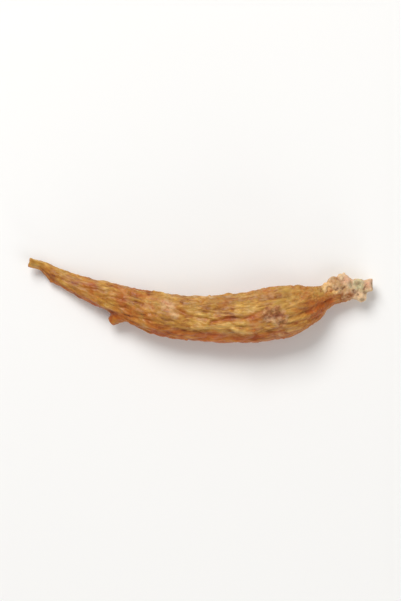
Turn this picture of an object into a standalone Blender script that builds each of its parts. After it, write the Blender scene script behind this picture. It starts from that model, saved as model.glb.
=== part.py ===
"""One dried red ginseng root, lying on its side on a flat surface.

The root grew as one piece, so it is one solid. From left to right it has a thin tail, a thick
belly, a narrow neck and the knobbly rhizome, with the cups that old stems left in it. Drying
drew the skin into long furrows, and lost side roots left stubs, warts and one sunken scar.

Units are metres. X runs from the tail to the rhizome, Z is up, and the surface is z = 0. The
origin is in the middle of the root's outline, on that surface.
"""

import math
import random

import bmesh
import bpy
import numpy as np
from mathutils import Matrix, Vector, noise

MM = 0.001

# Driving dimensions
ROOT_LENGTH = 80.0 * MM  # along X, from the tail's tip to the end of the rhizome
BODY_WIDTH = 12.4 * MM  # across the belly, where the root is widest
FLATNESS = 0.92  # height of the body over its width
REST_CUT = 0.42 * MM  # how deep the lowest spots are worn flat where the root rests

# The middle line of the root. Each station holds its place along the length, its offset across
# and its height, as shares of ROOT_LENGTH, and its width as a share of BODY_WIDTH.
STATIONS = (
    (-0.489, 0.128, 0.042, 0.17),  # tip of the tail
    (-0.455, 0.116, 0.028, 0.20),
    (-0.412, 0.088, 0.024, 0.32),
    (-0.350, 0.060, 0.036, 0.39),
    (-0.230, 0.014, 0.050, 0.58),
    (-0.112, -0.025, 0.061, 0.79),
    (0.035, -0.033, 0.068, 0.90),
    (0.150, -0.030, 0.070, 0.98),  # belly
    (0.236, -0.016, 0.067, 0.98),
    (0.298, 0.003, 0.058, 0.80),  # shoulder
    (0.352, 0.027, 0.048, 0.47),  # neck
    (0.402, 0.044, 0.039, 0.42),
    (0.452, 0.054, 0.038, 0.34),  # end of the rhizome
)
SPINE_STEPS = 12  # points on the middle line for each pair of stations
SKIN_SIDES = 8  # steps for each half turn of the raw tube

# Rhizome lumps, in mm: centre, then half sizes along, across and up, then the turn about Z
LUMPS = (
    ((29.1, 4.7, 4.6), (1.4, 1.1, 1.3), 30),
    ((30.5, 5.9, 4.0), (1.4, 1.3, 1.5), 35),
    ((31.4, 5.2, 4.8), (1.5, 1.3, 1.4), 0),
    ((31.2, 3.3, 4.8), (1.5, 1.1, 1.2), 20),
    ((32.6, 6.2, 4.0), (1.5, 1.5, 1.7), 20),
    ((33.2, 3.0, 2.1), (2.1, 1.7, 2.0), 0),
    ((33.9, 5.7, 4.5), (1.4, 1.3, 1.5), -15),
    ((34.5, 4.6, 4.0), (1.5, 1.3, 1.6), -20),
    ((36.4, 5.2, 3.8), (1.5, 1.4, 1.7), 0),
    ((37.0, 2.9, 3.3), (1.3, 1.8, 1.5), 10),
    ((38.6, 4.9, 3.1), (1.5, 1.5, 1.5), 25),
    ((35.5, 2.7, 4.0), (1.0, 0.9, 0.9), -25),
)
# Hollows, in mm: a place on the plump skin, then radius and depth
SCAR = (  # the sunken scar of a lost side root, from three hollows that run together
    ((17.5, -1.6, 11.5), 1.8, 0.55),
    ((15.7, -1.6, 11.4), 1.6, 0.22),
    ((18.5, -3.0, 11.2), 1.6, 0.25),
)
CUPS = (  # cups that old stems left in the rhizome
    ((36.3, 5.4, 5.5), 1.00, 0.60),
    ((40.0, 5.0, 3.4), 1.10, 0.60),
    ((37.3, 1.3, 4.3), 0.90, 0.45),
    ((31.9, 7.5, 3.4), 1.00, 0.50),
    ((34.6, 1.3, 1.6), 1.00, 0.50),
)
CUT_ENDS = (  # cut ends of the tail and of the largest side root
    ((-40.1, 10.5, 3.4), 0.90, 0.45),
    ((-21.7, -4.0, 2.9), 1.20, 0.50),
)
DISH_FLOOR, DISH_EDGE = 0.3, 1.05  # where a hollow's floor and wall end, over its radius
RIM_START, RIM_TOP, RIM_END = 0.8, 1.15, 1.8  # the swollen rim round it, over its radius
RIM_HEIGHT = 0.35  # height of the rim over the hollow's depth
# Stubs of side roots, in mm: the points and radii of each, from foot to tip
STUBS = (
    ((-16.4, -0.4, 3.6, 2.5), (-19.0, -2.2, 3.2, 2.0), (-20.9, -3.4, 2.9, 1.3)),
    ((-4.0, -0.6, 3.0, 1.2), (-6.0, 1.3, 2.2, 0.7)),
    ((9.0, -5.6, 3.2, 1.2), (7.4, -7.8, 2.3, 0.8)),
    ((-30.5, 4.6, 2.0, 0.9), (-32.4, 6.8, 2.5, 0.55)),
)
# Warts where fine rootlets broke off, scattered in spiral rows
WARTS = 14
WART_RADIUS = 0.75 * MM
WART_HEIGHT = 0.34 * MM
WART_FROM, WART_TO = 6.0 * MM, 62.0 * MM  # distance along the root
WART_TURN = 2.4  # radians round the root from one wart to the next
WART_SCATTER = 0.4
WART_SEED = 5

# Long folds on the upper side, in mm: height, half width, and points seen from above
LONG_FOLDS = (
    (-0.50, 1.1, ((-16.0, 3.2), (-8.9, 1.5), (-6.0, 0.0), (-3.0, -1.9), (1.0, -2.9))),
    (-0.40, 1.0, ((2.3, -3.8), (5.5, -3.0), (9.2, -2.9), (11.7, -2.2), (13.9, -1.0))),
    (0.40, 1.0, ((-2.0, -5.0), (4.5, -4.4), (6.7, -4.3), (8.0, -5.4), (11.7, -6.3))),
    (-0.40, 1.2, ((-12.0, -3.6), (-4.0, -6.0), (4.0, -6.6), (10.0, -7.3), (19.0, -5.6))),
    (-0.35, 1.0, ((-4.0, 1.5), (3.0, 1.6), (9.8, 1.9), (16.0, 2.6), (23.0, 3.2))),
    (-0.35, 1.0, ((20.5, -2.8), (24.0, -1.6), (27.5, 0.4), (30.0, 1.6))),
)
# Folds in the skin: wavelength round the root, stretch along it, and depth
LUMP_WAVE, LUMP_STRETCH, LUMP_DEPTH = 6.5 * MM, 1.8, 0.60 * MM
FURROW_WAVE, FURROW_STRETCH, FURROW_DEPTH = 2.8 * MM, 4.2, 0.50 * MM
WRINKLE_WAVE, WRINKLE_STRETCH, WRINKLE_DEPTH = 1.35 * MM, 3.0, 0.32 * MM
FURROW_LEVEL, WRINKLE_LEVEL = 0.55, 0.50  # height of the plump skin, over the depth of the fold
FOLD_TWIST = 9.0  # radians per metre of length
FOLD_CREST = 0.6  # noise value at which a fold has its full height
BEND_SCALE, BEND = 0.45, 0.75  # how slowly and how far the folds wander
BEND_SEED = 16  # the noise vector that bends them changes from run to run without a seed
FULL_FOLDS_WIDTH = 0.72  # share of BODY_WIDTH from which the folds have their full depth
SEED_STEP = 7.3  # distance between the parts of the noise that the folds are taken from
# Rough bark on the rhizome. It begins on a slant: further along on the lower edge than on the upper
BARK_WAVE, BARK_DEPTH = 1.6 * MM, 0.32 * MM
BARK_FROM, BARK_TO = 28.0 * MM, 29.5 * MM  # along X, at BARK_LEVEL across
BARK_LEVEL = 4.6 * MM
BARK_SLANT = 1.9

SKIN_VOXEL = 0.33 * MM
SOFTEN_STEPS = 6
WELD = 0.01 * MM
TRIANGLES = 10200


def smooth_step(low, high, values):
    share = np.clip((values - low) / (high - low), 0.0, 1.0)
    return share * share * (3.0 - 2.0 * share)


def middle_line():
    """Points and half widths along the root, on a smooth curve through the stations."""
    rows = np.array(STATIONS)
    rows = rows * [ROOT_LENGTH, ROOT_LENGTH, ROOT_LENGTH, BODY_WIDTH / 2]
    rows = np.vstack([2 * rows[0] - rows[1], rows, 2 * rows[-1] - rows[-2]])
    line = []
    for before, start, end, after in zip(rows, rows[1:], rows[2:], rows[3:]):
        for step in range(SPINE_STEPS):
            t = step / SPINE_STEPS
            line.append(
                0.5 * (2 * start + (end - before) * t)
                + 0.5 * (2 * before - 5 * start + 4 * end - after) * t**2
                + 0.5 * (3 * start - before - 3 * end + after) * t**3
            )
    line.append(rows[-2])
    line = np.array(line)
    return line[:, :3], line[:, 3]


def evaluated_mesh(obj):
    """The object's mesh with its modifiers applied, in world space. The object is removed."""
    bpy.context.view_layer.update()
    graph = bpy.context.evaluated_depsgraph_get()
    mesh = bpy.data.meshes.new_from_object(obj.evaluated_get(graph))
    mesh.transform(obj.matrix_world)
    bpy.data.objects.remove(obj)
    return mesh


def tube(points, radii):
    """A closed tube along points, as a mesh."""
    curve = bpy.data.curves.new("tube", "CURVE")
    curve.dimensions = "3D"
    curve.bevel_depth = 1.0
    curve.bevel_resolution = SKIN_SIDES
    curve.use_fill_caps = True
    spline = curve.splines.new("POLY")
    spline.points.add(len(points) - 1)
    for place, point, radius in zip(spline.points, points, radii):
        place.co = (*point, 1.0)
        place.radius = radius
    obj = bpy.data.objects.new("tube", curve)
    bpy.context.scene.collection.objects.link(obj)
    return evaluated_mesh(obj)


def raw_root():
    """The tube, its round ends, the rhizome's lumps and the stubs, as overlapping closed shapes."""
    points, radii = middle_line()
    raw = bmesh.new()
    raw.from_mesh(tube(points, radii))
    for end in (0, -1):
        place = Matrix.Translation(points[end])
        bmesh.ops.create_icosphere(raw, subdivisions=3, radius=radii[end], matrix=place)
    for centre, half_sizes, turn in LUMPS:
        place = Matrix.LocRotScale(
            Vector(centre) * MM,
            Matrix.Rotation(math.radians(turn), 3, "Z"),
            Vector(half_sizes) * MM,
        )
        bmesh.ops.create_icosphere(raw, subdivisions=3, radius=1.0, matrix=place)
    for stub in STUBS:
        places = np.array(stub) * MM
        raw.from_mesh(tube(places[:, :3], places[:, 3]))
    bmesh.ops.remove_doubles(raw, verts=raw.verts, dist=WELD)
    mesh = bpy.data.meshes.new("raw_root")
    raw.to_mesh(mesh)
    raw.free()
    return mesh


def fused(mesh, voxel):
    """One even skin over the overlapping shapes, with the joins between them softened."""
    obj = bpy.data.objects.new("skin", mesh)
    bpy.context.scene.collection.objects.link(obj)
    skin = obj.modifiers.new("skin", "REMESH")
    skin.mode = "VOXEL"
    skin.voxel_size = voxel
    soften = obj.modifiers.new("soften", "SMOOTH")
    soften.factor = 0.5
    soften.iterations = SOFTEN_STEPS
    return evaluated_mesh(obj)


class RootFrame:
    """Turns places in space into places along and around the root, and back."""

    def __init__(self):
        self.points, self.radii = middle_line()
        steps = np.diff(self.points, axis=0)
        self.along = np.concatenate([[0.0], np.cumsum(np.linalg.norm(steps, axis=1))])
        tangents = np.gradient(self.points, axis=0)
        self.tangents = tangents / np.linalg.norm(tangents, axis=1)[:, None]
        sides = np.cross(self.tangents, (0.0, 0.0, 1.0))
        self.sides = sides / np.linalg.norm(sides, axis=1)[:, None]
        self.ups = np.cross(self.sides, self.tangents)

    def locate(self, places):
        """Distance along the root, angle around it and its half width there, for each place."""
        near = np.array([((self.points - place) ** 2).sum(axis=1).argmin() for place in places])
        offset = places - self.points[near]
        ahead = (offset * self.tangents[near]).sum(axis=1)
        up = (offset * self.ups[near]).sum(axis=1)
        across = (offset * self.sides[near]).sum(axis=1)
        return self.along[near] + ahead, np.arctan2(up, across), self.radii[near]

    def place_on_skin(self, along, angle):
        """The place on the plump root at a distance along it and an angle around it."""
        near = abs(self.along - along).argmin()
        out = self.sides[near] * math.cos(angle) + self.ups[near] * math.sin(angle)
        return self.points[near] + self.radii[near] * out


def noise_at(places):
    return np.array([noise.noise(place) for place in places])


def unrolled(along, angle, girth, wave, stretch, seed):
    """Places for the noise, so that its folds run along the root and keep their width."""
    turned = angle + FOLD_TWIST * along
    lengthwise = along / (wave * stretch) + SEED_STEP * seed
    round_root = (girth * np.cos(turned) / wave, girth * np.sin(turned) / wave)
    return np.stack([lengthwise, *round_root], axis=1)


def folds(along, angle, girth, wave, stretch, seed):
    """0 in the bottom of a sharp crease, to about 1 on a round crest."""
    places = unrolled(along, angle, girth, wave, stretch, seed)
    bend = np.array([noise.noise_vector(place) for place in places * BEND_SCALE])
    return np.minimum(1.0, abs(noise_at(places + BEND * bend)) / FOLD_CREST)


def long_folds(places, angle):
    """Height of the long folds that show on the upper side of the root."""
    height = np.zeros(len(places))
    for crest, half_width, points in LONG_FOLDS:
        line = np.array(points) * MM
        nearest = np.full(len(places), np.inf)
        for start, end in zip(line, line[1:]):
            run = end - start
            share = np.clip((places[:, :2] - start) @ run / (run @ run), 0.0, 1.0)
            foot = start + share[:, None] * run
            nearest = np.minimum(nearest, np.linalg.norm(places[:, :2] - foot, axis=1))
        height += crest * MM * (1.0 - smooth_step(0.0, half_width * MM, nearest))
    return height * smooth_step(0.0, 0.3, np.sin(angle))


def hollow_depth(places):
    """Depth of the hollows at each place: each is a dish with a low swollen rim."""
    depth = np.zeros(len(places))
    for centre, radius, deepest in (*SCAR, *CUPS, *CUT_ENDS):
        reach = np.linalg.norm(places - np.array(centre) * MM, axis=1) / (radius * MM)
        dish = 1.0 - smooth_step(DISH_FLOOR, DISH_EDGE, reach)
        rim = smooth_step(RIM_START, RIM_TOP, reach) - smooth_step(RIM_TOP, RIM_END, reach)
        depth += deepest * MM * (dish - RIM_HEIGHT * rim)
    return depth


def wart_share(places, root_frame):
    """1 on a wart's top, falling to 0 at its foot. The warts are in a loose spiral."""
    draw = random.Random(WART_SEED)
    nearest = np.full(len(places), np.inf)
    for number in range(WARTS):
        share = (number + draw.uniform(-WART_SCATTER, WART_SCATTER)) / (WARTS - 1)
        along = WART_FROM + share * (WART_TO - WART_FROM)
        angle = number * WART_TURN + draw.uniform(-WART_SCATTER, WART_SCATTER)
        wart = root_frame.place_on_skin(along, angle)
        nearest = np.minimum(nearest, np.linalg.norm(places - wart, axis=1))
    return 1.0 - smooth_step(0.0, WART_RADIUS, nearest)


def bark_share(places):
    """0 on the smooth skin, to 1 on the rhizome's bark."""
    slanted = places[:, 0] + BARK_SLANT * (places[:, 1] - BARK_LEVEL)
    return smooth_step(BARK_FROM, BARK_TO, slanted)


def relief(places, root_frame):
    """How far the dried skin stands out from the plump root, at each place on it."""
    along, angle, girth = root_frame.locate(places)
    bark = bark_share(places)
    fullness = np.minimum(1.0, 2 * girth / (FULL_FOLDS_WIDTH * BODY_WIDTH))
    lump = noise_at(unrolled(along, angle, girth, LUMP_WAVE, LUMP_STRETCH, 1))
    furrow = folds(along, angle, girth, FURROW_WAVE, FURROW_STRETCH, 2) - FURROW_LEVEL
    wrinkle = folds(along, angle, girth, WRINKLE_WAVE, WRINKLE_STRETCH, 3) - WRINKLE_LEVEL
    skin = LUMP_DEPTH * lump + FURROW_DEPTH * furrow + WRINKLE_DEPTH * wrinkle
    rough = BARK_DEPTH * noise_at(places / BARK_WAVE)
    squash = (1.0 - FLATNESS) * girth * np.sin(angle) ** 2
    height = (1.0 - bark) * (fullness * skin + long_folds(places, angle)) + bark * rough
    return height + WART_HEIGHT * wart_share(places, root_frame) - hollow_depth(places) - squash


def coordinates(mesh):
    places = np.empty(3 * len(mesh.vertices))
    mesh.vertices.foreach_get("co", places)
    return places.reshape(-1, 3)


def dry(mesh):
    """Moves each point of the skin along its normal by the relief there."""
    places = coordinates(mesh)
    normals = np.array([vertex.normal for vertex in mesh.vertices])
    places += normals * relief(places, RootFrame())[:, None]
    mesh.vertices.foreach_set("co", places.ravel())
    mesh.update()


def centre_on_surface(mesh):
    """Moves the root so that the origin is under the middle of its outline."""
    places = coordinates(mesh)
    low, high = places.min(axis=0), places.max(axis=0)
    middle = (low + high) / 2
    mesh.transform(Matrix.Translation((-middle[0], -middle[1], -low[2] - REST_CUT)))


def surface_cutter(collection):
    """A block under z = 0 that leaves the flat spots the root rests on."""
    bpy.ops.mesh.primitive_cube_add(size=1.0)
    block = bpy.context.object
    block.name = "surface"
    block.scale = (2 * ROOT_LENGTH, ROOT_LENGTH, 4 * BODY_WIDTH)
    block.location = (0.0, 0.0, -2 * BODY_WIDTH)
    block.hide_render = True
    block.display_type = "WIRE"
    for owner in block.users_collection:
        owner.objects.unlink(block)
    collection.objects.link(block)
    return block


def root_material():
    """Dried, steamed skin: horny amber brown with a low sheen."""
    material = bpy.data.materials.new("root_skin")
    material.use_nodes = True
    shader = material.node_tree.nodes["Principled BSDF"]
    shader.inputs["Base Color"].default_value = (0.44, 0.20, 0.060, 1.0)
    shader.inputs["Roughness"].default_value = 0.45
    shader.inputs["Metallic"].default_value = 0.0
    return material


def clear_scene():
    for obj in list(bpy.data.objects):
        bpy.data.objects.remove(obj)


def new_collection(name):
    collection = bpy.data.collections.new(name)
    bpy.context.scene.collection.children.link(collection)
    return collection


def main():
    clear_scene()
    noise.seed_set(BEND_SEED)
    parts = new_collection("ginseng_root")
    cutters = new_collection("cutters")
    mesh = fused(raw_root(), SKIN_VOXEL)
    dry(mesh)
    centre_on_surface(mesh)
    mesh.materials.clear()
    mesh.materials.append(root_material())
    mesh.shade_smooth()
    root = bpy.data.objects.new("ginseng_root", mesh)
    parts.objects.link(root)
    thin = root.modifiers.new("fewer_faces", "DECIMATE")
    thin.ratio = TRIANGLES / (2 * len(mesh.polygons))
    rest = root.modifiers.new("rest_spots", "BOOLEAN")
    rest.operation = "DIFFERENCE"
    rest.solver = "EXACT"
    rest.object = surface_cutter(cutters)


main()
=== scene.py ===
"""Looks for the dried red ginseng root: its fine skin, its materials, the light and the camera.

The root's skin is grown from the same middle line, lumps and folds as the solid, on a finer
mesh, with fine creases, crinkles and crust added. Units are metres.
"""

import math
import random

import bmesh
import bpy
import numpy as np
from mathutils import Matrix, Vector, noise

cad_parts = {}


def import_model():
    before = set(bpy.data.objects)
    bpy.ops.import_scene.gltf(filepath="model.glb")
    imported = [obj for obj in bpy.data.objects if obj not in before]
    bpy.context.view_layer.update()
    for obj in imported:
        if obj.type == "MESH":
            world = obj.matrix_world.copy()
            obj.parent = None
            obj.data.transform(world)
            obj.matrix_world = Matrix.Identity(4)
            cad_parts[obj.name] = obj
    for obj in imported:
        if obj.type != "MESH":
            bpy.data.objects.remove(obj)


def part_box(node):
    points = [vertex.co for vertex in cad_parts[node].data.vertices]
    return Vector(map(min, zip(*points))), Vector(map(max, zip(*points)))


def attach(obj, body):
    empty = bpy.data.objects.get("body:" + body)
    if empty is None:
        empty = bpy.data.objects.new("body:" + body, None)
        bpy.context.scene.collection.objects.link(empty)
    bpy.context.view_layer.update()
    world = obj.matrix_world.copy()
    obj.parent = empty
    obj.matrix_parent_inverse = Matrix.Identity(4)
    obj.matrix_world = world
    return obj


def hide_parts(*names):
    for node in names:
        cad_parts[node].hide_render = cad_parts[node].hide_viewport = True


MM = 0.001

# Driving dimensions
ROOT_LENGTH = 80.0 * MM  # along X, from the tail's tip to the end of the rhizome
BODY_WIDTH = 12.4 * MM  # across the belly, where the root is widest
FLATNESS = 0.92  # height of the body over its width

# The middle line of the root. Each station holds its place along the length, its offset across
# and its height, as shares of ROOT_LENGTH, and its width as a share of BODY_WIDTH.
STATIONS = (
    (-0.489, 0.128, 0.042, 0.17),  # tip of the tail
    (-0.455, 0.116, 0.028, 0.20),
    (-0.412, 0.088, 0.024, 0.32),
    (-0.350, 0.060, 0.036, 0.39),
    (-0.230, 0.014, 0.050, 0.58),
    (-0.112, -0.025, 0.061, 0.79),
    (0.035, -0.033, 0.068, 0.90),
    (0.150, -0.030, 0.070, 0.98),  # belly
    (0.236, -0.016, 0.067, 0.98),
    (0.298, 0.003, 0.058, 0.80),  # shoulder
    (0.352, 0.027, 0.048, 0.47),  # neck
    (0.402, 0.044, 0.039, 0.42),
    (0.452, 0.054, 0.038, 0.34),  # end of the rhizome
)
SPINE_STEPS = 12  # points on the middle line for each pair of stations
SKIN_SIDES = 8  # steps for each half turn of the raw tube

# Rhizome lumps, in mm: centre, then half sizes along, across and up, then the turn about Z
LUMPS = (
    ((29.1, 4.7, 4.6), (1.4, 1.1, 1.3), 30),
    ((30.5, 5.9, 4.0), (1.4, 1.3, 1.5), 35),
    ((31.4, 5.2, 4.8), (1.5, 1.3, 1.4), 0),
    ((31.2, 3.3, 4.8), (1.5, 1.1, 1.2), 20),
    ((32.6, 6.2, 4.0), (1.5, 1.5, 1.7), 20),
    ((33.2, 3.0, 2.1), (2.1, 1.7, 2.0), 0),
    ((33.9, 5.7, 4.5), (1.4, 1.3, 1.5), -15),
    ((34.5, 4.6, 4.0), (1.5, 1.3, 1.6), -20),
    ((36.4, 5.2, 3.8), (1.5, 1.4, 1.7), 0),
    ((37.0, 2.9, 3.3), (1.3, 1.8, 1.5), 10),
    ((38.6, 4.9, 3.1), (1.5, 1.5, 1.5), 25),
    ((35.5, 2.7, 4.0), (1.0, 0.9, 0.9), -25),
)
# Hollows, in mm: a place on the plump skin, then radius and depth
SCAR = (  # the sunken scar of a lost side root, from three hollows that run together
    ((17.5, -1.6, 11.5), 1.8, 0.55),
    ((15.7, -1.6, 11.4), 1.6, 0.22),
    ((18.5, -3.0, 11.2), 1.6, 0.25),
)
CUPS = (  # cups that old stems left in the rhizome
    ((36.3, 5.4, 5.5), 1.00, 0.60),
    ((40.0, 5.0, 3.4), 1.10, 0.60),
    ((37.3, 1.3, 4.3), 0.90, 0.45),
    ((31.9, 7.5, 3.4), 1.00, 0.50),
    ((34.6, 1.3, 1.6), 1.00, 0.50),
)
CUT_ENDS = (  # cut ends of the tail and of the largest side root
    ((-40.1, 10.5, 3.4), 0.90, 0.45),
    ((-21.7, -4.0, 2.9), 1.20, 0.50),
)
DISH_FLOOR, DISH_EDGE = 0.3, 1.05  # where a hollow's floor and wall end, over its radius
RIM_START, RIM_TOP, RIM_END = 0.8, 1.15, 1.8  # the swollen rim round it, over its radius
RIM_HEIGHT = 0.35  # height of the rim over the hollow's depth
# Stubs of side roots, in mm: the points and radii of each, from foot to tip
STUBS = (
    ((-16.4, -0.4, 3.6, 2.5), (-19.0, -2.2, 3.2, 2.0), (-20.9, -3.4, 2.9, 1.3)),
    ((-4.0, -0.6, 3.0, 1.2), (-6.0, 1.3, 2.2, 0.7)),
    ((9.0, -5.6, 3.2, 1.2), (7.4, -7.8, 2.3, 0.8)),
    ((-30.5, 4.6, 2.0, 0.9), (-32.4, 6.8, 2.5, 0.55)),
)
# Warts where fine rootlets broke off, scattered in spiral rows
WARTS = 14
WART_RADIUS = 0.75 * MM
WART_HEIGHT = 0.34 * MM
WART_FROM, WART_TO = 6.0 * MM, 62.0 * MM  # distance along the root
WART_TURN = 2.4  # radians round the root from one wart to the next
WART_SCATTER = 0.4
WART_SEED = 5

# Long folds on the upper side, in mm: height, half width, and points seen from above
LONG_FOLDS = (
    (-0.50, 1.1, ((-16.0, 3.2), (-8.9, 1.5), (-6.0, 0.0), (-3.0, -1.9), (1.0, -2.9))),
    (-0.40, 1.0, ((2.3, -3.8), (5.5, -3.0), (9.2, -2.9), (11.7, -2.2), (13.9, -1.0))),
    (0.40, 1.0, ((-2.0, -5.0), (4.5, -4.4), (6.7, -4.3), (8.0, -5.4), (11.7, -6.3))),
    (-0.40, 1.2, ((-12.0, -3.6), (-4.0, -6.0), (4.0, -6.6), (10.0, -7.3), (19.0, -5.6))),
    (-0.35, 1.0, ((-4.0, 1.5), (3.0, 1.6), (9.8, 1.9), (16.0, 2.6), (23.0, 3.2))),
    (-0.35, 1.0, ((20.5, -2.8), (24.0, -1.6), (27.5, 0.4), (30.0, 1.6))),
)
UPPER_FROM, UPPER_TO = 0.0, 0.3  # sine of the angle up the side over which the long folds grow in
# Folds in the skin: wavelength round the root, stretch along it, and depth
LUMP_WAVE, LUMP_STRETCH, LUMP_DEPTH = 6.5 * MM, 1.8, 0.60 * MM
FURROW_WAVE, FURROW_STRETCH, FURROW_DEPTH = 2.8 * MM, 4.2, 0.50 * MM
WRINKLE_WAVE, WRINKLE_STRETCH, WRINKLE_DEPTH = 1.35 * MM, 3.0, 0.32 * MM
FURROW_LEVEL, WRINKLE_LEVEL = 0.55, 0.50  # height of the plump skin, over the depth of the fold
FOLD_TWIST = 9.0  # radians per metre of length
FOLD_CREST = 0.6  # noise value at which a fold has its full height
BEND_SCALE, BEND = 0.45, 0.75  # how slowly and how far the folds wander
BEND_SEED = 16  # the noise vector that bends them changes from run to run without a seed
FULL_FOLDS_WIDTH = 0.72  # share of BODY_WIDTH from which the folds have their full depth
SEED_STEP = 7.3  # distance between the parts of the noise that the folds are taken from
# Rough bark on the rhizome. It begins on a slant: further along on the lower edge than on the upper
BARK_WAVE, BARK_DEPTH = 1.6 * MM, 0.32 * MM
BARK_FROM, BARK_TO = 28.0 * MM, 29.5 * MM  # along X, at BARK_LEVEL across
BARK_LEVEL = 4.6 * MM
BARK_SLANT = 1.9

# Fine relief, for the looks alone
CREASE_WAVE, CREASE_STRETCH, CREASE_DEPTH, CREASE_LEVEL = 0.62 * MM, 3.5, 0.15 * MM, 0.45
CRINKLE_WAVE, CRINKLE_STRETCH, CRINKLE_DEPTH = 0.85 * MM, 1.6, 0.13 * MM
RING_WAVE, RING_DEPTH, RING_WOBBLE = 1.05 * MM, 0.05 * MM, 2.0
RINGS_FROM, RINGS_FULL = 19.0 * MM, 27.0 * MM  # along X, towards the neck
GRIT_WAVE, GRIT_DEPTH = 0.60 * MM, 0.11 * MM  # grit on the bark
KNOB_WAVE, KNOB_DEPTH = 1.25 * MM, 0.18 * MM  # knobs on the bark, with creases between them
KNOB_CREST, KNOB_LEVEL = 0.40, 0.60
GROOVE_STEP, GROOVE_DEPTH = 1.3 * MM, 0.12 * MM  # grooves round the rhizome
GROOVE_WOBBLE, GROOVE_LEVEL = 0.9, 0.75
CRUST_WAVE, CRUST_DEPTH = 0.80 * MM, 0.26 * MM  # crust in the scar
RAGGED_WAVE, RAGGED_REACH = 1.5 * MM, 1.6 * MM  # how the bark's edge wanders
FLAKES_FROM = 23.0 * MM  # along X, at BARK_LEVEL across, where flakes of bark begin on the neck

# Where the material's colours go
BLUR_STEPS, CREST_HEIGHT = 32, 0.50 * MM  # for telling crests from creases
FOLD_REACH = 0.5 * MM  # height of a long fold at which its colour is full
SCAR_FULL, SCAR_EDGE = 0.2, 2.0  # where a hollow's looks are full and where they end, over its radius
CUP_FULL, CUP_EDGE = 0.4, 1.0
CUT_FULL, CUT_EDGE = 0.6, 1.0
NECK_FROM, NECK_TO = 20.0 * MM, 27.0 * MM  # along X, where the neck's colour grows in
FLANK_FROM, FLANK_TO = 11.0 * MM, 20.0 * MM  # along X, where the red and painted shade of the lower flank fades
FLANK_LOSS = 0.5  # share of that red and painted shade which fades
FLANK_EDGE, FLANK_FULL = 0.1, 0.9  # how squarely the skin faces the lower flank, from none to full
FLANK_LEAN = 0.5  # how far the lower flank leans down
UNDER_LEAN = 0.45  # radians by which the red and painted shade of the underside leans towards the lower flank
PATCH_FULL = 0.3  # share of a patch's radius within which it has its full strength
PATCHES_FROM, PATCHES_TO = -0.1, 0.3  # sine of the angle up the side over which patches grow in
LEAST_SHARE = 1e-6  # keeps the mixing of patches from dividing by nothing

BALL_SUBDIVISIONS = 3
SKIN_VOXEL = 0.18 * MM
SOFTEN_STEPS, SOFTEN_FACTOR = 20, 0.5
WELD = 0.01 * MM

# Fineness of the noises in the material, in waves per metre
ORANGE_SCALE, OLIVE_SCALE = 150.0, 330.0  # patches on the skin
CHALK_SCALE, ROSE_SCALE, GREEN_SCALE = 700.0, 240.0, 300.0  # patches on the bark
FLAKE_SCALE, MOTTLE_SCALE = 1100.0, 1100.0  # bark flakes, and the mottle of the placed patches
BARK_EDGE_SCALE, BARK_CREST_SCALE = 900.0, 1500.0
CRUST_SCALE, SCAR_EDGE_SCALE = 700.0, 800.0
SPOT_SCALE, GRIT_SCALE = 950.0, 2600.0
CRACK_SCALE, CRACK_BEND_SCALE, CRACK_BEND = 1300.0, 900.0, 0.6 * MM
# The same for noises that follow the root, in waves per mm along it and round it
PATCH_GRAIN = (0.22, 0.55, 0.55)
BLOTCH_GRAIN = (0.3, 0.8, 0.8)
STREAK_GRAIN = (0.5, 1.5, 1.5)
FIBRE_GRAIN = (0.75, 3.0, 3.0)
# How the material mixes them
TONE_START = -0.92  # the skin's tone runs from 0, the colour of its furrows, to 1, its palest
PATCH_TONE, FIBRE_TONE, CREST_LIGHT_AND_SHADE = 1.8, 0.8, 0.34  # what each adds to that tone; the crests' part is painted light on the crests and painted shade in the creases
NECK_ORANGE = 0.12  # share of orange that the neck has more than the rest
RED_SHARE = 0.35  # how much of the red and shaded side is painted red, beside its tint of painted shade
BARK_EDGE_SWING, BARK_CREST_SWING = 1.1, 0.9  # how far noise moves the bark's edge and its crests
SCAR_START, SCAR_SWING, SCAR_GAIN = -1.35, 2.4, 1.1  # how ragged the scar's edge is
CRUST_TONE = -0.13  # how much darker the crust is in the middle of the scar
LEAST_GAIN = 0.5  # brightness of the darkest streaks and spots, over that of the colour
ROUGHNESS, DULL_ROUGHNESS, FIBRE_ROUGHNESS = 0.30, 0.34, 0.25  # the skin's, and what each adds
SMOOTH_GRIT = 0.15  # share of the grit that shows on the smooth skin
FIBRE_BUMP, CRACK_BUMP, GRIT_BUMP = 0.14 * MM, 0.10 * MM, 0.22 * MM

# The floor, the light and the camera
FLOOR_SIZE = 3.0
FLOOR_DROP = 0.02 * MM  # keeps the floor's plane clear of the root's flat spots
LIGHTS = (  # name, place, size and power
    ("key", (-0.30, 0.58, 0.70), 0.50, 7.8),
    ("fill", (0.45, -0.50, 0.60), 0.7, 2.0),
    ("rim", (0.25, -0.80, 0.16), 0.3, 1.6),
)
WORLD_STRENGTH = 0.32
CAMERA_HEIGHT = 0.9
IMAGE_HEIGHT = 601
ROOT_PIXELS = 345  # length of the root in the picture
SENSOR = 36.0


def linear(red, green, blue):
    """A colour as seen on screen, 0 to 255, as the linear values a shader takes."""
    shares = [channel / 255 for channel in (red, green, blue)]
    return tuple(
        share / 12.92 if share <= 0.04045 else ((share + 0.055) / 1.055) ** 2.4
        for share in shares
    )


# The skin
FURROW = linear(92, 38, 12)
BROWN = linear(134, 70, 22)
OCHRE = linear(170, 112, 40)
TAN = linear(190, 139, 58)
PALE = linear(216, 172, 94)
ORANGE = linear(170, 80, 18)
RUST = linear(160, 72, 16)
OLIVE = linear(176, 142, 70)
OLIVE_TAN = linear(192, 152, 78)
RED_AND_SHADE_TINT = (1.0, 0.68, 0.36)  # what the red and the painted shade of the lower side do to the skin's colour
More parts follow.
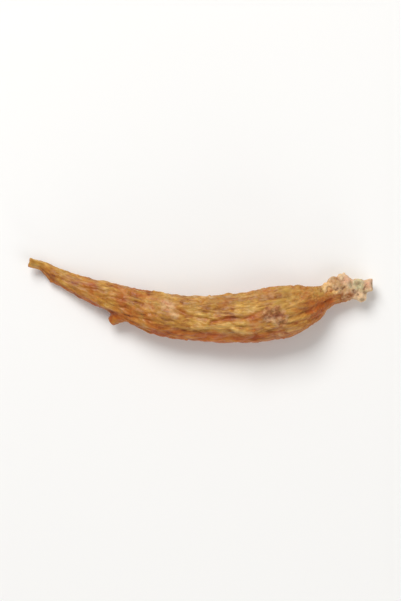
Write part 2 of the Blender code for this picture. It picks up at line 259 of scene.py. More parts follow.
# The rhizome's bark
BARK_SHADE = linear(100, 54, 26)
TAN_BARK = linear(188, 142, 88)
CREAM = linear(230, 194, 150)
PEACH = linear(230, 182, 118)
ROSE = linear(212, 162, 130)
GREEN = linear(204, 196, 152)
CHALK = linear(238, 214, 176)
GREY = linear(140, 124, 98)
NECK_SKIN = linear(148, 80, 22)
# The scar
SCAR_DARK = linear(108, 54, 36)
SCAR_ROSE = linear(164, 100, 64)
SCAR_PALE = linear(208, 166, 124)

# Patches of colour on the upper side: X and Y in mm, radius in mm, strength, colour
PATCHES = (
    (29.2, 4.8, 1.9, 0.9, PEACH),
    (30.6, 6.3, 1.5, 0.8, TAN_BARK),
    (31.6, 5.3, 1.6, 0.8, TAN_BARK),
    (31.0, 3.5, 1.0, 0.9, PEACH),
    (32.6, 7.3, 1.3, 0.9, CREAM),
    (33.9, 6.2, 1.5, 0.8, ROSE),
    (34.6, 5.2, 1.0, 0.6, GREY),
    (32.6, 2.3, 1.9, 0.9, NECK_SKIN),
    (34.4, 2.6, 1.3, 0.9, NECK_SKIN),
    (36.5, 5.2, 2.1, 0.8, GREEN),
    (39.0, 5.2, 2.0, 0.8, ROSE),
    (36.9, 2.5, 1.7, 0.9, CREAM),
    # Painted shade: two dark spots in the rhizome's crevices.
    (35.4, 3.7, 0.8, 0.9, BARK_SHADE),
    (37.9, 3.4, 0.6, 0.9, BARK_SHADE),
    (26.9, -0.7, 3.6, 0.8, ORANGE),
    (30.2, 1.4, 1.8, 0.6, ORANGE),
    (26.3, 3.3, 2.6, 0.5, OLIVE_TAN),
    (27.6, 3.4, 1.5, 0.6, OLIVE_TAN),
    (4.0, -3.0, 1.6, 0.55, ORANGE),
    (6.2, -2.6, 1.3, 0.5, ORANGE),
    (-7.5, 0.4, 5.5, 0.45, OLIVE_TAN),
    (-1.5, -1.2, 3.0, 0.45, OLIVE_TAN),
    (-2.0, 2.4, 3.0, 0.50, OLIVE),
    (3.4, 2.2, 3.2, 0.50, OLIVE),
    (8.4, 2.8, 2.8, 0.40, OLIVE),
    (12.0, 4.5, 6.5, 0.35, OLIVE_TAN),
    (21.0, 3.0, 5.5, 0.60, OLIVE_TAN),
    # Partly painted highlight along the upper edge, partly pale ridges of skin.
    (-1.2, 2.8, 1.0, 0.50, CREAM),
    (0.6, 2.7, 1.0, 0.50, CREAM),
    (2.4, 2.7, 1.0, 0.50, CREAM),
    (6.2, 2.8, 1.0, 0.40, CREAM),
    (10.8, 4.2, 1.1, 0.40, CREAM),
    (12.6, 4.5, 1.1, 0.40, CREAM),
    (14.4, 4.7, 1.1, 0.40, CREAM),
    (-8.3, 0.7, 1.6, 0.35, CREAM),
    (-6.9, -0.2, 1.6, 0.45, CREAM),
    (-5.9, -1.9, 1.3, 0.55, CREAM),
    (15.1, -2.8, 1.0, 0.55, SCAR_PALE),
    (16.7, -3.0, 1.1, 0.65, SCAR_PALE),
    (18.0, -2.8, 0.9, 0.60, SCAR_PALE),
    (17.3, -4.0, 1.0, 0.50, SCAR_PALE),
    (18.9, -1.0, 0.9, 0.40, SCAR_PALE),
    (-0.4, -2.7, 2.0, 0.55, PALE),
    (1.4, -0.2, 1.3, 0.6, OCHRE),
    (6.2, -0.4, 1.2, 0.5, TAN),
    # Partly painted highlight on a pale bump.
    (8.4, -0.9, 1.1, 0.7, PALE),
    (4.6, -4.4, 1.9, 0.5, PALE),
    (6.3, -3.9, 0.8, 0.7, PALE),
    (7.2, -4.7, 0.8, 0.8, PALE),
    (8.2, -5.4, 0.8, 0.8, PALE),
    (9.6, -5.9, 0.9, 0.8, PALE),
)


def smooth_step(low, high, values):
    share = np.clip((values - low) / (high - low), 0.0, 1.0)
    return share * share * (3.0 - 2.0 * share)


def middle_line():
    """Points and half widths along the root, on a smooth curve through the stations."""
    rows = np.array(STATIONS)
    rows = rows * [ROOT_LENGTH, ROOT_LENGTH, ROOT_LENGTH, BODY_WIDTH / 2]
    rows = np.vstack([2 * rows[0] - rows[1], rows, 2 * rows[-1] - rows[-2]])
    line = []
    for before, start, end, after in zip(rows, rows[1:], rows[2:], rows[3:]):
        for step in range(SPINE_STEPS):
            t = step / SPINE_STEPS
            line.append(
                0.5 * (2 * start + (end - before) * t)
                + 0.5 * (2 * before - 5 * start + 4 * end - after) * t**2
                + 0.5 * (3 * start - before - 3 * end + after) * t**3
            )
    line.append(rows[-2])
    line = np.array(line)
    return line[:, :3], line[:, 3]


def evaluated_mesh(obj):
    """The object's mesh with its modifiers applied, in world space. The object is removed."""
    bpy.context.view_layer.update()
    graph = bpy.context.evaluated_depsgraph_get()
    mesh = bpy.data.meshes.new_from_object(obj.evaluated_get(graph))
    mesh.transform(obj.matrix_world)
    bpy.data.objects.remove(obj)
    return mesh


def tube(points, radii):
    """A closed tube along points, as a mesh."""
    curve = bpy.data.curves.new("tube", "CURVE")
    curve.dimensions = "3D"
    curve.bevel_depth = 1.0
    curve.bevel_resolution = SKIN_SIDES
    curve.use_fill_caps = True
    spline = curve.splines.new("POLY")
    spline.points.add(len(points) - 1)
    for place, point, radius in zip(spline.points, points, radii):
        place.co = (*point, 1.0)
        place.radius = radius
    obj = bpy.data.objects.new("tube", curve)
    bpy.context.scene.collection.objects.link(obj)
    return evaluated_mesh(obj)


def raw_root():
    """The tube, its round ends, the rhizome's lumps and the stubs, as overlapping closed shapes."""
    points, radii = middle_line()
    raw = bmesh.new()
    raw.from_mesh(tube(points, radii))
    for end in (0, -1):
        place = Matrix.Translation(points[end])
        bmesh.ops.create_icosphere(
            raw, subdivisions=BALL_SUBDIVISIONS, radius=radii[end], matrix=place
        )
    for centre, half_sizes, turn in LUMPS:
        place = Matrix.LocRotScale(
            Vector(centre) * MM,
            Matrix.Rotation(math.radians(turn), 3, "Z"),
            Vector(half_sizes) * MM,
        )
        bmesh.ops.create_icosphere(
            raw, subdivisions=BALL_SUBDIVISIONS, radius=1.0, matrix=place
        )
    for stub in STUBS:
        places = np.array(stub) * MM
        raw.from_mesh(tube(places[:, :3], places[:, 3]))
    bmesh.ops.remove_doubles(raw, verts=raw.verts, dist=WELD)
    mesh = bpy.data.meshes.new("raw_root")
    raw.to_mesh(mesh)
    raw.free()
    return mesh


def fused(mesh, voxel):
    """One even skin over the overlapping shapes, with the joins between them softened."""
    obj = bpy.data.objects.new("skin", mesh)
    bpy.context.scene.collection.objects.link(obj)
    skin = obj.modifiers.new("skin", "REMESH")
    skin.mode = "VOXEL"
    skin.voxel_size = voxel
    soften = obj.modifiers.new("soften", "SMOOTH")
    soften.factor = SOFTEN_FACTOR
    soften.iterations = SOFTEN_STEPS
    return evaluated_mesh(obj)


class RootFrame:
    """Turns places in space into places along and around the root, and back."""

    def __init__(self):
        self.points, self.radii = middle_line()
        steps = np.diff(self.points, axis=0)
        self.along = np.concatenate([[0.0], np.cumsum(np.linalg.norm(steps, axis=1))])
        tangents = np.gradient(self.points, axis=0)
        self.tangents = tangents / np.linalg.norm(tangents, axis=1)[:, None]
        sides = np.cross(self.tangents, (0.0, 0.0, 1.0))
        self.sides = sides / np.linalg.norm(sides, axis=1)[:, None]
        self.ups = np.cross(self.sides, self.tangents)

    def locate(self, places):
        """Distance along the root, angle around it and its half width there, for each place."""
        near = np.array([((self.points - place) ** 2).sum(axis=1).argmin() for place in places])
        offset = places - self.points[near]
        ahead = (offset * self.tangents[near]).sum(axis=1)
        up = (offset * self.ups[near]).sum(axis=1)
        across = (offset * self.sides[near]).sum(axis=1)
        return self.along[near] + ahead, np.arctan2(up, across), self.radii[near]

    def place_on_skin(self, along, angle):
        """The place on the plump root at a distance along it and an angle around it."""
        near = abs(self.along - along).argmin()
        out = self.sides[near] * math.cos(angle) + self.ups[near] * math.sin(angle)
        return self.points[near] + self.radii[near] * out


def noise_at(places):
    return np.array([noise.noise(place) for place in places])


def unrolled(along, angle, girth, wave, stretch, seed):
    """Places for the noise, so that its folds run along the root and keep their width."""
    turned = angle + FOLD_TWIST * along
    lengthwise = along / (wave * stretch) + SEED_STEP * seed
    round_root = (girth * np.cos(turned) / wave, girth * np.sin(turned) / wave)
    return np.stack([lengthwise, *round_root], axis=1)


def folds(along, angle, girth, wave, stretch, seed):
    """0 in the bottom of a sharp crease, to about 1 on a round crest."""
    places = unrolled(along, angle, girth, wave, stretch, seed)
    bend = np.array([noise.noise_vector(place) for place in places * BEND_SCALE])
    return np.minimum(1.0, abs(noise_at(places + BEND * bend)) / FOLD_CREST)


def long_folds(places, angle):
    """Height of the long folds that show on the upper side of the root."""
    height = np.zeros(len(places))
    for crest, half_width, points in LONG_FOLDS:
        line = np.array(points) * MM
        nearest = np.full(len(places), np.inf)
        for start, end in zip(line, line[1:]):
            run = end - start
            share = np.clip((places[:, :2] - start) @ run / (run @ run), 0.0, 1.0)
            foot = start + share[:, None] * run
            nearest = np.minimum(nearest, np.linalg.norm(places[:, :2] - foot, axis=1))
        height += crest * MM * (1.0 - smooth_step(0.0, half_width * MM, nearest))
    return height * smooth_step(UPPER_FROM, UPPER_TO, np.sin(angle))


def hollow_depth(places):
    """Depth of the hollows at each place: each is a dish with a low swollen rim."""
    depth = np.zeros(len(places))
    for centre, radius, deepest in (*SCAR, *CUPS, *CUT_ENDS):
        reach = np.linalg.norm(places - np.array(centre) * MM, axis=1) / (radius * MM)
        dish = 1.0 - smooth_step(DISH_FLOOR, DISH_EDGE, reach)
        rim = smooth_step(RIM_START, RIM_TOP, reach) - smooth_step(RIM_TOP, RIM_END, reach)
        depth += deepest * MM * (dish - RIM_HEIGHT * rim)
    return depth


def wart_share(places, root_frame):
    """1 on a wart's top, falling to 0 at its foot. The warts are in a loose spiral."""
    draw = random.Random(WART_SEED)
    nearest = np.full(len(places), np.inf)
    for number in range(WARTS):
        share = (number + draw.uniform(-WART_SCATTER, WART_SCATTER)) / (WARTS - 1)
        along = WART_FROM + share * (WART_TO - WART_FROM)
        angle = number * WART_TURN + draw.uniform(-WART_SCATTER, WART_SCATTER)
        wart = root_frame.place_on_skin(along, angle)
        nearest = np.minimum(nearest, np.linalg.norm(places - wart, axis=1))
    return 1.0 - smooth_step(0.0, WART_RADIUS, nearest)


def slanted_length(places):
    """Place along X, measured on the slant on which the bark begins."""
    return places[:, 0] + BARK_SLANT * (places[:, 1] - BARK_LEVEL)


def bark_share(places):
    """0 on the smooth skin, to 1 on the rhizome's bark."""
    return smooth_step(BARK_FROM, BARK_TO, slanted_length(places))


def coordinates(mesh):
    places = np.empty(3 * len(mesh.vertices))
    mesh.vertices.foreach_get("co", places)
    return places.reshape(-1, 3)


def vertex_normals(mesh):
    return np.array([vertex.normal for vertex in mesh.vertices])


def near_hollows(places, hollows, full, edge):
    """1 inside the hollows, falling to 0 between two distances given over their radius."""
    share = np.zeros(len(places))
    for centre, radius, _ in hollows:
        reach = np.linalg.norm(places - np.array(centre) * MM, axis=1) / (radius * MM)
        share = np.maximum(share, 1.0 - smooth_step(full, edge, reach))
    return share


def patch_colours(places, angle):
    """Colour of the listed patches on the upper side, and how much of it shows."""
    colours = np.zeros((len(places), 4))
    upper = smooth_step(PATCHES_FROM, PATCHES_TO, np.sin(angle))
    for x, y, radius, strength, colour in PATCHES:
        reach = np.linalg.norm(places[:, :2] - np.array((x, y)) * MM, axis=1) / (radius * MM)
        over = strength * upper * (1.0 - smooth_step(PATCH_FULL, 1.0, reach))
        below = colours[:, 3] * (1.0 - over)
        total = np.maximum(over + below, LEAST_SHARE)
        mixed = np.outer(over, colour) + colours[:, :3] * below[:, None]
        colours[:, :3] = mixed / total[:, None]
        colours[:, 3] = over + below
    return colours


def keep(mesh, name, values):
    """Stores values that the material reads."""
    attribute = mesh.attributes.new(name, "FLOAT", "POINT")
    attribute.data.foreach_set("value", np.asarray(values, dtype=np.float32))


def crest_share(mesh):
    """0.5 on an even skin, to 1 on crests and 0 in creases: how far it stands out of its blur."""
    places = coordinates(mesh)
    edges = np.empty(2 * len(mesh.edges), dtype=np.int64)
    mesh.edges.foreach_get("vertices", edges)
    start = np.concatenate([edges[0::2], edges[1::2]])
    end = np.concatenate([edges[1::2], edges[0::2]])
    count = np.bincount(start, minlength=len(places))[:, None]
    blurred = places.copy()
    for _ in range(BLUR_STEPS):
        near = [np.bincount(start, blurred[end, axis], minlength=len(places)) for axis in range(3)]
        blurred = (blurred + np.stack(near, axis=1)) / (count + 1)
    height = ((places - blurred) * vertex_normals(mesh)).sum(axis=1)
    return np.clip(0.5 + height / CREST_HEIGHT, 0.0, 1.0)


def skin_relief(places, along, angle, girth, lump):
    """Height of the smooth skin: its folds and creases, and the rings towards the neck."""
    fullness = np.minimum(1.0, 2 * girth / (FULL_FOLDS_WIDTH * BODY_WIDTH))
    furrow = folds(along, angle, girth, FURROW_WAVE, FURROW_STRETCH, 2)
    wrinkle = folds(along, angle, girth, WRINKLE_WAVE, WRINKLE_STRETCH, 3)
    crease = folds(along, angle, girth, CREASE_WAVE, CREASE_STRETCH, 4)
    crinkle = noise_at(unrolled(along, angle, girth, CRINKLE_WAVE, CRINKLE_STRETCH, 5))
    plump = LUMP_DEPTH * lump
    plump += FURROW_DEPTH * (furrow - FURROW_LEVEL)
    plump += WRINKLE_DEPTH * (wrinkle - WRINKLE_LEVEL)
    height = fullness * plump + long_folds(places, angle)
    height += CREASE_DEPTH * (crease - CREASE_LEVEL) + CRINKLE_DEPTH * crinkle
    turns = along / RING_WAVE + RING_WOBBLE * (lump + crinkle)
    ringed = smooth_step(RINGS_FROM, RINGS_FULL, places[:, 0])
    return height + RING_DEPTH * ringed * np.sin(2 * math.pi * turns)


def knobs(places):
    """0 in the crease between two knobs, to 1 on a knob's flat top."""
    return np.minimum(1.0, abs(noise_at(places)) / KNOB_CREST)


def bark_relief(places, along, lump):
    """Height of the rhizome's bark: its knobs, the grooves round it and its grit."""
    height = BARK_DEPTH * noise_at(places / BARK_WAVE)
    height += KNOB_DEPTH * (knobs(places / KNOB_WAVE) - KNOB_LEVEL)
    grooves = abs(np.sin(math.pi * (along / GROOVE_STEP + GROOVE_WOBBLE * lump)))
    height += GROOVE_DEPTH * (np.sqrt(grooves) - GROOVE_LEVEL)
    return height + GRIT_DEPTH * noise_at(places / GRIT_WAVE)


def keep_looks(mesh, places, along, angle, girth):
    """Stores what the material reads beside the bark, the scar and the neck."""
    keep(mesh, "crest", crest_share(mesh))
    keep(mesh, "flakes", smooth_step(FLAKES_FROM, BARK_TO, slanted_length(places)))
    keep(mesh, "fold", 0.5 + 0.5 * long_folds(places, angle) / FOLD_REACH)
    keep(mesh, "cup", near_hollows(places, CUPS, CUP_FULL, CUP_EDGE))
    keep(mesh, "cut", near_hollows(places, CUT_ENDS, CUT_FULL, CUT_EDGE))
    # Painted shade, with some of the skin's own red: the underside and the lower flank are darker and
    # redder.
    keep(mesh, "under", 0.5 - 0.5 * np.sin(angle - UNDER_LEAN))
    flank = smooth_step(FLANK_EDGE, FLANK_FULL, np.cos(angle) - FLANK_LEAN * np.sin(angle))
    fade = FLANK_LOSS * smooth_step(FLANK_FROM, FLANK_TO, places[:, 0])
    keep(mesh, "flank", flank * (1.0 - fade))
    patches = mesh.attributes.new("patches", "FLOAT_COLOR", "POINT")
    patches.data.foreach_set("color", patch_colours(places, angle).ravel())
    grain = mesh.attributes.new("grain", "FLOAT_VECTOR", "POINT")
    grain.data.foreach_set("vector", unrolled(along, angle, girth, MM, 1.0, 0).ravel())


def dry(mesh):
    """Moves the skin by its relief, and keeps what the material reads."""
    root_frame = RootFrame()
    places = coordinates(mesh)
    along, angle, girth = root_frame.locate(places)
    ragged = np.array([noise.noise_vector(place) for place in places / RAGGED_WAVE])
    bark = bark_share(places + RAGGED_REACH * ragged)
    scar = near_hollows(places, SCAR, SCAR_FULL, SCAR_EDGE)
    lump = noise_at(unrolled(along, angle, girth, LUMP_WAVE, LUMP_STRETCH, 1))
    height = (1.0 - bark) * skin_relief(places, along, angle, girth, lump)
    height += bark * bark_relief(places, along, lump)
    height += scar * CRUST_DEPTH * (knobs(places / CRUST_WAVE) - KNOB_LEVEL)
    height += WART_HEIGHT * wart_share(places, root_frame) - hollow_depth(places)
    height -= (1.0 - FLATNESS) * girth * np.sin(angle) ** 2
    places += vertex_normals(mesh) * height[:, None]
    mesh.vertices.foreach_set("co", places.ravel())
    mesh.update()
    keep(mesh, "bark", bark)
    keep(mesh, "scar", scar)
    keep(mesh, "neck", smooth_step(NECK_FROM, NECK_TO, places[:, 0]) * (1.0 - bark))
    keep_looks(mesh, places, along, angle, girth)


def settle(mesh, node):
    """Puts the skin where the solid is, and flattens it where the root rests."""
    low, high = (np.array(corner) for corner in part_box(node))
    places = coordinates(mesh)
    shift = (low + high) / 2 - (places.min(axis=0) + places.max(axis=0)) / 2
    shift[2] = high[2] - places[:, 2].max()
    places = np.clip(places + shift, low, high)
    mesh.vertices.foreach_set("co", places.ravel())
    mesh.update()


class Nodes:
    """Short calls that build a node material."""

    def __init__(self, name):
        self.material = bpy.data.materials.new(name)
        self.material.use_nodes = True
        self.tree = self.material.node_tree
        self.shader = self.tree.nodes["Principled BSDF"]

    def add(self, kind, **settings):
        node = self.tree.nodes.new(kind)
        for name, value in settings.items():
            setattr(node, name, value)
        return node

    def plug(self, socket, value):
        if isinstance(value, bpy.types.NodeSocket):
            self.tree.links.new(value, socket)
        elif isinstance(value, tuple) and len(value) == 3 and socket.type == "RGBA":
            socket.default_value = (*value, 1.0)
        else:
            socket.default_value = value

    def attribute(self, name, output="Fac"):
        return self.add("ShaderNodeAttribute", attribute_name=name).outputs[output]

    def math(self, operation, first, second, third=0.0):
        node = self.add("ShaderNodeMath", operation=operation)
        for socket, value in zip(node.inputs, (first, second, third)):
            self.plug(socket, value)
        return node.outputs[0]

    def stretched(self, vector, scale):
        node = self.add("ShaderNodeVectorMath", operation="MULTIPLY")
        self.plug(node.inputs[0], vector)
        node.inputs[1].default_value = scale
        return node.outputs[0]

    def noise(self, vector, scale=1.0, detail=3.0, roughness=0.55, distortion=0.0):
        node = self.add("ShaderNodeTexNoise")
        self.plug(node.inputs["Vector"], vector)
        node.inputs["Scale"].default_value = scale
        node.inputs["Detail"].default_value = detail
        node.inputs["Roughness"].default_value = roughness
        node.inputs["Distortion"].default_value = distortion
        return node.outputs["Fac"]

    def colour_noise(self, vector, scale):
        node = self.add("ShaderNodeTexNoise")
        self.plug(node.inputs["Vector"], vector)
        node.inputs["Scale"].default_value = scale
        return node.outputs["Color"]

    def ramp(self, value, *stops):
        """A colour ramp. Each stop is a position and a grey or a colour."""
        node = self.add("ShaderNodeValToRGB")
        self.plug(node.inputs["Fac"], value)
        elements = node.color_ramp.elements
        while len(elements) < len(stops):
            elements.new(0.5)
        for element, (position, colour) in zip(elements, stops):
            element.position = position
            grey = isinstance(colour, float)
            element.color = (colour, colour, colour, 1.0) if grey else (*colour, 1.0)
        return node.outputs["Color"]

    def mix(self, share, first, second, blend="MIX"):
        """A mix of colours, which this node takes in at inputs 6 and 7 and gives at output 2."""
        node = self.add("ShaderNodeMix", data_type="RGBA", blend_type=blend, clamp_result=True)
        self.plug(node.inputs[0], share)
        self.plug(node.inputs[6], first)
        self.plug(node.inputs[7], second)
        return node.outputs[2]

    def bump(self, height, distance, strength, under=None):
        node = self.add("ShaderNodeBump")
        node.inputs["Distance"].default_value = distance
        node.inputs["Strength"].default_value = strength
        self.plug(node.inputs["Height"], height)
        if under is not None:
            self.plug(node.inputs["Normal"], under)
        return node.outputs["Normal"]


def skin_colour(n, grain, place, fibre):
    """Pale crests over red-brown creases, partly painted light and shade, with patches of orange and
    olive.
    """
    patch = n.noise(n.stretched(grain, PATCH_GRAIN), detail=4.0, roughness=0.6)
    tone = n.math("MULTIPLY_ADD", patch, PATCH_TONE, TONE_START)
    tone = n.math("MULTIPLY_ADD", fibre, FIBRE_TONE, tone)
    # Painted light and shade: the skin is paler on its crests and darker in its creases.
    tone = n.math("MULTIPLY_ADD", n.attribute("crest"), CREST_LIGHT_AND_SHADE, tone)
    skin = n.ramp(tone, (0.05, FURROW), (0.30, BROWN), (0.52, OCHRE), (0.74, TAN), (0.98, PALE))
    warm = n.ramp(n.noise(place, ORANGE_SCALE), (0.45, 0.0), (0.62, 0.60))
    skin = n.mix(warm, skin, ORANGE)
    green = n.ramp(n.noise(place, OLIVE_SCALE), (0.50, 0.0), (0.68, 0.4))
    skin = n.mix(green, skin, OLIVE)
    skin = n.mix(n.math("MULTIPLY", n.attribute("neck"), NECK_ORANGE), skin, ORANGE)
    fold = n.attribute("fold")
    skin = n.mix(n.ramp(fold, (0.0, 0.60), (0.15, 0.30), (0.42, 0.0)), skin, ORANGE)
    return n.mix(n.ramp(fold, (0.58, 0.0), (0.90, 0.55)), skin, PALE)


def reddened_and_shaded(n, grain, skin):
    """The skin's colour with the blotchy red of the lower flank and the underside, partly the skin's
    own red and partly painted shade.
    """
    blotch = n.noise(n.stretched(grain, BLOTCH_GRAIN), detail=4.0, roughness=0.6)
    red = n.mix(n.ramp(blotch, (0.42, 0.0), (0.60, 1.0)), RUST, ORANGE)
    under = n.math("MULTIPLY", n.attribute("under"), n.ramp(blotch, (0.35, 1.0), (0.65, 0.35)))
    under = n.ramp(under, (0.28, 0.0), (0.75, 0.9))
    flank = n.math("MULTIPLY", n.attribute("flank"), n.ramp(blotch, (0.35, 1.0), (0.62, 0.45)))
    red_and_shaded_side = n.math("MAXIMUM", under, flank)
    skin = n.mix(n.math("MULTIPLY", red_and_shaded_side, RED_SHARE), skin, red)
    return n.mix(red_and_shaded_side, skin, RED_AND_SHADE_TINT, "MULTIPLY")


def with_flakes(n, place, skin):
    """The skin's colour with pale flakes of bark on the neck."""
    flakes = n.ramp(n.noise(place, FLAKE_SCALE, detail=4.0), (0.50, 0.0), (0.60, 0.75))
    return n.mix(n.math("MULTIPLY", n.attribute("flakes"), flakes), skin, PALE)


def bark_colour(n, place):
    """Chalky bark of the rhizome, rosy and grey-green in places."""
    chalk = n.noise(place, CHALK_SCALE, detail=5.0, roughness=0.65)
    bark = n.ramp(chalk, (0.36, TAN_BARK), (0.60, CREAM))
    rose = n.ramp(n.noise(place, ROSE_SCALE), (0.48, 0.0), (0.58, 0.6))
    bark = n.mix(rose, bark, ROSE)
    green = n.ramp(n.noise(place, GREEN_SCALE, distortion=1.0), (0.52, 0.0), (0.62, 0.5))
    return n.mix(green, bark, GREEN)


def bark_crest(n, place):
    """High on the bark's crests, low in its crevices, with a ragged edge."""
    grain = n.noise(place, BARK_CREST_SCALE, detail=5.0, roughness=0.7)
    crest = n.math("ADD", n.attribute("crest"), -BARK_CREST_SWING / 2)
    return n.math("MULTIPLY_ADD", grain, BARK_CREST_SWING, crest)


def placed_colour(n, place, colour):
    """The listed patches, over the colour that the whole root has."""
    patch = n.add("ShaderNodeAttribute", attribute_name="patches")
    mottle = n.ramp(n.noise(place, MOTTLE_SCALE, detail=4.0), (0.38, 0.40), (0.56, 1.0))
    share = n.math("MULTIPLY", patch.outputs["Alpha"], mottle)
    return n.mix(share, colour, patch.outputs["Color"])


def scar_colour(n, place):
    """Brown crust in the middle of the scar, with pale grains towards its edge."""
    crust = n.noise(place, CRUST_SCALE, detail=4.0, roughness=0.65)
    crust = n.math("MULTIPLY_ADD", n.attribute("scar"), CRUST_TONE, crust)
    return n.ramp(crust, (0.24, SCAR_DARK), (0.40, SCAR_ROSE), (0.54, SCAR_PALE))


def scar_share(n, place):
    """How much of the scar's colour shows, with a ragged edge."""
    ragged = n.noise(place, SCAR_EDGE_SCALE, detail=4.0)
    ragged = n.math("MULTIPLY_ADD", ragged, SCAR_SWING, SCAR_START)
    scar = n.math("ADD", n.math("MULTIPLY", n.attribute("scar"), SCAR_GAIN), ragged)
    return n.ramp(scar, (0.10, 0.0), (0.85, 0.75))


def with_contrast(n, grain, place, bark, colour):
    """The colour, darker and lighter in short streaks on the skin and in spots on the bark."""
    streaks = n.noise(n.stretched(grain, STREAK_GRAIN), detail=4.0, roughness=0.65)
    spots = n.noise(place, SPOT_SCALE, detail=4.0, roughness=0.65)
    gain = n.math("ADD", n.mix(bark, streaks, spots), LEAST_GAIN)
    return n.mix(1.0, colour, gain, "MULTIPLY")


def root_colour(n, grain, place, fibre, grit, bark):
    """The colour of the skin and the bark, then what lies over both."""
    skin = with_flakes(n, place, reddened_and_shaded(n, grain, skin_colour(n, grain, place, fibre)))
    colour = n.mix(bark, skin, bark_colour(n, place))
    crest = bark_crest(n, place)
    # Chalky crust on the bark's crests, partly painted light: paler where the crests stand out.
    chalk = n.math("MULTIPLY", bark, n.ramp(crest, (0.58, 0.0), (0.85, 0.50)))
    colour = n.mix(chalk, colour, CHALK)
    colour = n.mix(scar_share(n, place), colour, scar_colour(n, place))
    colour = placed_colour(n, place, colour)
    colour = with_contrast(n, grain, place, bark, colour)
    # Painted shade: the bark darkens in its crevices.
    crevice_shade = n.math("MULTIPLY", bark, n.ramp(crest, (0.16, 0.65), (0.36, 0.0)))
    colour = n.mix(crevice_shade, colour, BARK_SHADE)
    # Painted shade inside the cups, mixed with grey.
    colour = n.mix(n.attribute("cup"), colour, n.mix(grit, BARK_SHADE, GREY))
    return n.mix(n.attribute("cut"), colour, n.mix(grit, BROWN, PALE))


def cracked(n, place):
    """0 in the fine cracks of what is dull, to 1 on the plates between them."""
    bend = n.add("ShaderNodeVectorMath", operation="MULTIPLY_ADD")
    n.plug(bend.inputs[0], n.colour_noise(place, CRACK_BEND_SCALE))
    bend.inputs[1].default_value = (CRACK_BEND, CRACK_BEND, CRACK_BEND)
    n.plug(bend.inputs[2], place)
    crack = n.add("ShaderNodeTexVoronoi", feature="DISTANCE_TO_EDGE")
    n.plug(crack.inputs["Vector"], bend.outputs[0])
    crack.inputs["Scale"].default_value = CRACK_SCALE
    return n.ramp(crack.outputs["Distance"], (0.0, 0.0), (0.22, 1.0))


def root_bump(n, place, fibre, grit, bark, dull):
    """Fibres on the smooth skin, and cracks and grit where it is dull."""
    smooth = n.math("SUBTRACT", 1.0, bark)
    fine = n.bump(n.math("MULTIPLY", fibre, smooth), FIBRE_BUMP, 0.7)
    fine = n.bump(n.math("MULTIPLY", cracked(n, place), dull), CRACK_BUMP, 0.7, fine)
    gritty = n.math("MULTIPLY_ADD", dull, 1.0 - SMOOTH_GRIT, SMOOTH_GRIT)
    return n.bump(n.math("MULTIPLY", grit, gritty), GRIT_BUMP, 0.9, fine)


def skin_material():
    n = Nodes("root_skin")
    grain = n.attribute("grain", "Vector")
    place = n.add("ShaderNodeTexCoord").outputs["Object"]
    fibre = n.noise(n.stretched(grain, FIBRE_GRAIN), detail=6.0, roughness=0.58)
    grit = n.noise(place, GRIT_SCALE, detail=3.0, roughness=0.65)
    edge = n.noise(place, BARK_EDGE_SCALE, detail=4.0)
    edge = n.math("MULTIPLY_ADD", edge, BARK_EDGE_SWING, -BARK_EDGE_SWING / 2)
    bark = n.ramp(n.math("ADD", n.attribute("bark"), edge), (0.30, 0.0), (0.70, 1.0))
    dull = n.math("MAXIMUM", bark, n.attribute("scar"))
    n.plug(n.shader.inputs["Base Color"], root_colour(n, grain, place, fibre, grit, bark))
    roughness = n.math("MULTIPLY_ADD", dull, DULL_ROUGHNESS, ROUGHNESS)
    roughness = n.math("MULTIPLY_ADD", fibre, FIBRE_ROUGHNESS, roughness)
    n.plug(n.shader.inputs["Roughness"], roughness)
    n.plug(n.shader.inputs["Normal"], root_bump(n, place, fibre, grit, bark, dull))
    n.shader.inputs["Specular IOR Level"].default_value = 0.32
    n.shader.inputs["Subsurface Weight"].default_value = 0.12
    n.shader.inputs["Subsurface Radius"].default_value = (1.0, 0.45, 0.15)
    n.shader.inputs["Subsurface Scale"].default_value = 0.6 * MM
    n.shader.inputs["Coat Weight"].default_value = 0.06
    n.shader.inputs["Coat Roughness"].default_value = 0.25
    return n.material


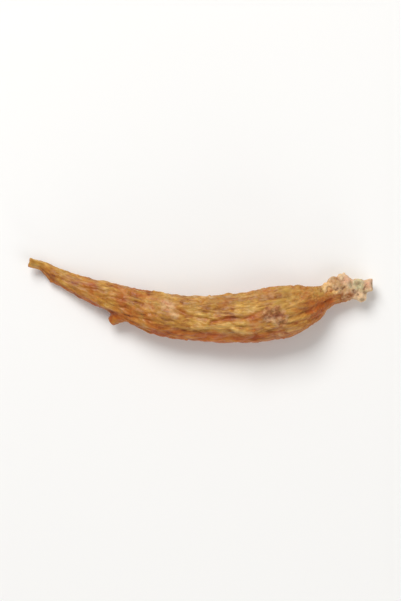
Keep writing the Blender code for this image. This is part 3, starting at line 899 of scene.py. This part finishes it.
def build_root():
    mesh = fused(raw_root(), SKIN_VOXEL)
    dry(mesh)
    settle(mesh, "ginseng_root")
    mesh.materials.clear()
    mesh.materials.append(skin_material())
    mesh.shade_smooth()
    root = bpy.data.objects.new("dried_root", mesh)
    bpy.context.scene.collection.objects.link(root)
    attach(root, "root")
    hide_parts("ginseng_root")


def build_floor():
    bpy.ops.mesh.primitive_plane_add(size=FLOOR_SIZE, location=(0.0, 0.0, -FLOOR_DROP))
    floor = bpy.context.object
    floor.name = "floor"
    n = Nodes("floor_paper")
    n.shader.inputs["Base Color"].default_value = (0.90, 0.89, 0.87, 1.0)
    n.shader.inputs["Roughness"].default_value = 0.9
    floor.data.materials.append(n.material)


def soft_light(name, location, size, power):
    light = bpy.data.lights.new(name, "AREA")
    light.size = size
    light.energy = power
    lamp = bpy.data.objects.new(name, light)
    lamp.location = location
    lamp.rotation_euler = (-Vector(location)).to_track_quat("-Z", "Y").to_euler()
    bpy.context.scene.collection.objects.link(lamp)


def build_light():
    for name, location, size, power in LIGHTS:
        soft_light(name, location, size, power)
    world = bpy.data.worlds.new("studio")
    world.use_nodes = True
    back = world.node_tree.nodes["Background"]
    back.inputs["Color"].default_value = (1.0, 1.0, 1.0, 1.0)
    back.inputs["Strength"].default_value = WORLD_STRENGTH
    bpy.context.scene.world = world


def build_camera():
    """Looks straight down, so that the lying root is seen as it is when it faces the viewer."""
    camera = bpy.data.cameras.new("camera")
    camera.sensor_width = SENSOR
    camera.lens = SENSOR * CAMERA_HEIGHT / (ROOT_LENGTH * IMAGE_HEIGHT / ROOT_PIXELS)
    camera.clip_start, camera.clip_end = 0.01, 10.0
    holder = bpy.data.objects.new("camera", camera)
    holder.location = (0.0, 0.0, CAMERA_HEIGHT)
    bpy.context.scene.collection.objects.link(holder)
    bpy.context.scene.camera = holder


def main():
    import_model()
    noise.seed_set(BEND_SEED)
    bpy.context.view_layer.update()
    build_root()
    build_floor()
    build_light()
    build_camera()
    bpy.context.scene.view_settings.view_transform = "Standard"


main()
